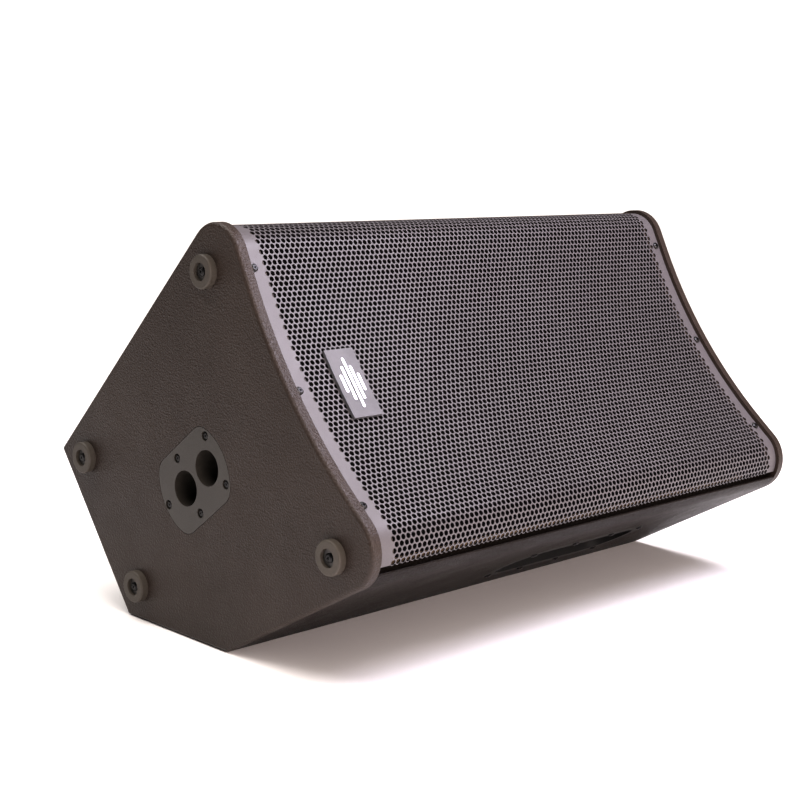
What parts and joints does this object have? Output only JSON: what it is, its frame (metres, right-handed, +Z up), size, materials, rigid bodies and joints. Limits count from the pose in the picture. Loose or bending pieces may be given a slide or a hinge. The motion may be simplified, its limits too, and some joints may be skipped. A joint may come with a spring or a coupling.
{
  "type": "pa speaker cabinet",
  "caption": "Two-way loudspeaker cabinet with a hollow perforated front, tapered sides, a monitor face to lie on, a side handle, feet and a dual pole socket",
  "frame": {"origin": "centre of the bounding box in X and Y, on the floor at its bottom", "axes": "+X runs along the cabinet from the base end with the feet to the top end, -Y is the side the grille faces, +Z is up with the cabinet lying on its monitor face"},
  "size_m": [0.68, 0.4979, 0.4237],
  "materials": {
    "cabinet_paint": "textured black-brown paint on plywood",
    "raw_ply": "bare birch plywood",
    "grille_powder": "powder-coated perforated steel",
    "black_screw": "black zinc",
    "foam": "open-cell foam",
    "badge": "anodised dark plate",
    "foot_rubber": "matte rubber",
    "zinc": "zinc plated",
    "black_plastic": "moulded nylon",
    "socket_plastic": "moulded glass-filled nylon",
    "plate_steel": "black painted steel",
    "frame_alloy": "cast alloy, black",
    "cone_paper": "pressed paper",
    "cloth": "doped cloth",
    "spider_cloth": "resin cloth",
    "coil_copper": "copper winding",
    "magnet": "ferrite",
    "board": "glass-fibre laminate",
    "cap_film": "film capacitor sleeve",
    "resistor": "cement resistor",
    "diaphragm": "thin foil",
    "wadding": "polyester wadding"
  },
  "bodies": {
    "cabinet": {"badge_plate": "badge", "baffle_board": "raw_ply", "base_end_panel": "cabinet_paint", "board_standoffs": "zinc", "crossover_board": "board", "crossover_capacitors": "cap_film", "crossover_resistors": "resistor", "damping_pads_upper": "wadding", "driver_body": "magnet", "driver_bolts": "zinc", "driver_rear_cap": "black_plastic", "foot_lower_front": "foot_rubber", "foot_lower_rear": "foot_rubber", "foot_screws": "black_screw", "foot_upper_front": "foot_rubber", "foot_upper_rear": "foot_rubber", "foot_washers": "zinc", "grille": "grille_powder", "grille_foam": "foam", "grille_rail_base": "cabinet_paint", "grille_rail_top": "cabinet_paint", "grille_screws": "black_screw", "handle_dish": "black_plastic", "handle_grip": "foot_rubber", "handle_screws": "black_screw", "horn_coil": "coil_copper", "horn_flare": "black_plastic", "horn_screws": "black_screw", "input_plate": "plate_steel", "input_plate_screws": "black_screw", "input_sockets": "black_plastic", "lower_side_panel": "cabinet_paint", "monitor_face_panel": "cabinet_paint", "pole_socket": "socket_plastic", "pole_socket_screws": "black_screw", "port_tube_lower": "black_plastic", "port_tube_upper": "black_plastic", "rear_panel": "cabinet_paint", "spider": "spider_cloth", "standoff_screws": "black_screw", "surround": "cloth", "terminal_block": "black_plastic", "top_end_panel": "cabinet_paint", "upper_side_panel": "cabinet_paint", "window_brace": "raw_ply", "woofer_bolts": "black_screw", "woofer_coil": "coil_copper", "woofer_frame": "frame_alloy", "woofer_gasket": "foam", "woofer_magnet": "magnet", "woofer_pole_yoke": "zinc", "woofer_top_plate": "zinc"},
    "woofer_moving": {"woofer_cone": "cone_paper", "dust_cap": "cone_paper", "voice_coil": "coil_copper"},
    "horn_diaphragm": {"driver_diaphragm": "diaphragm"}
  },
  "joints": [
    {"name": "woofer_travel", "type": "slide", "parent": "cabinet", "child": "woofer_moving", "axis": [0, -0.7934, 0.6088], "range_m": [-0.005, 0.005], "stiffness_N_per_m": 4000, "deforming": ["surround", "spider"]},
    {"name": "horn_diaphragm_travel", "type": "slide", "parent": "cabinet", "child": "horn_diaphragm", "axis": [0, -0.7934, 0.6088], "range_m": [-0.0003, 0.0003], "stiffness_N_per_m": 8000}
  ]
}
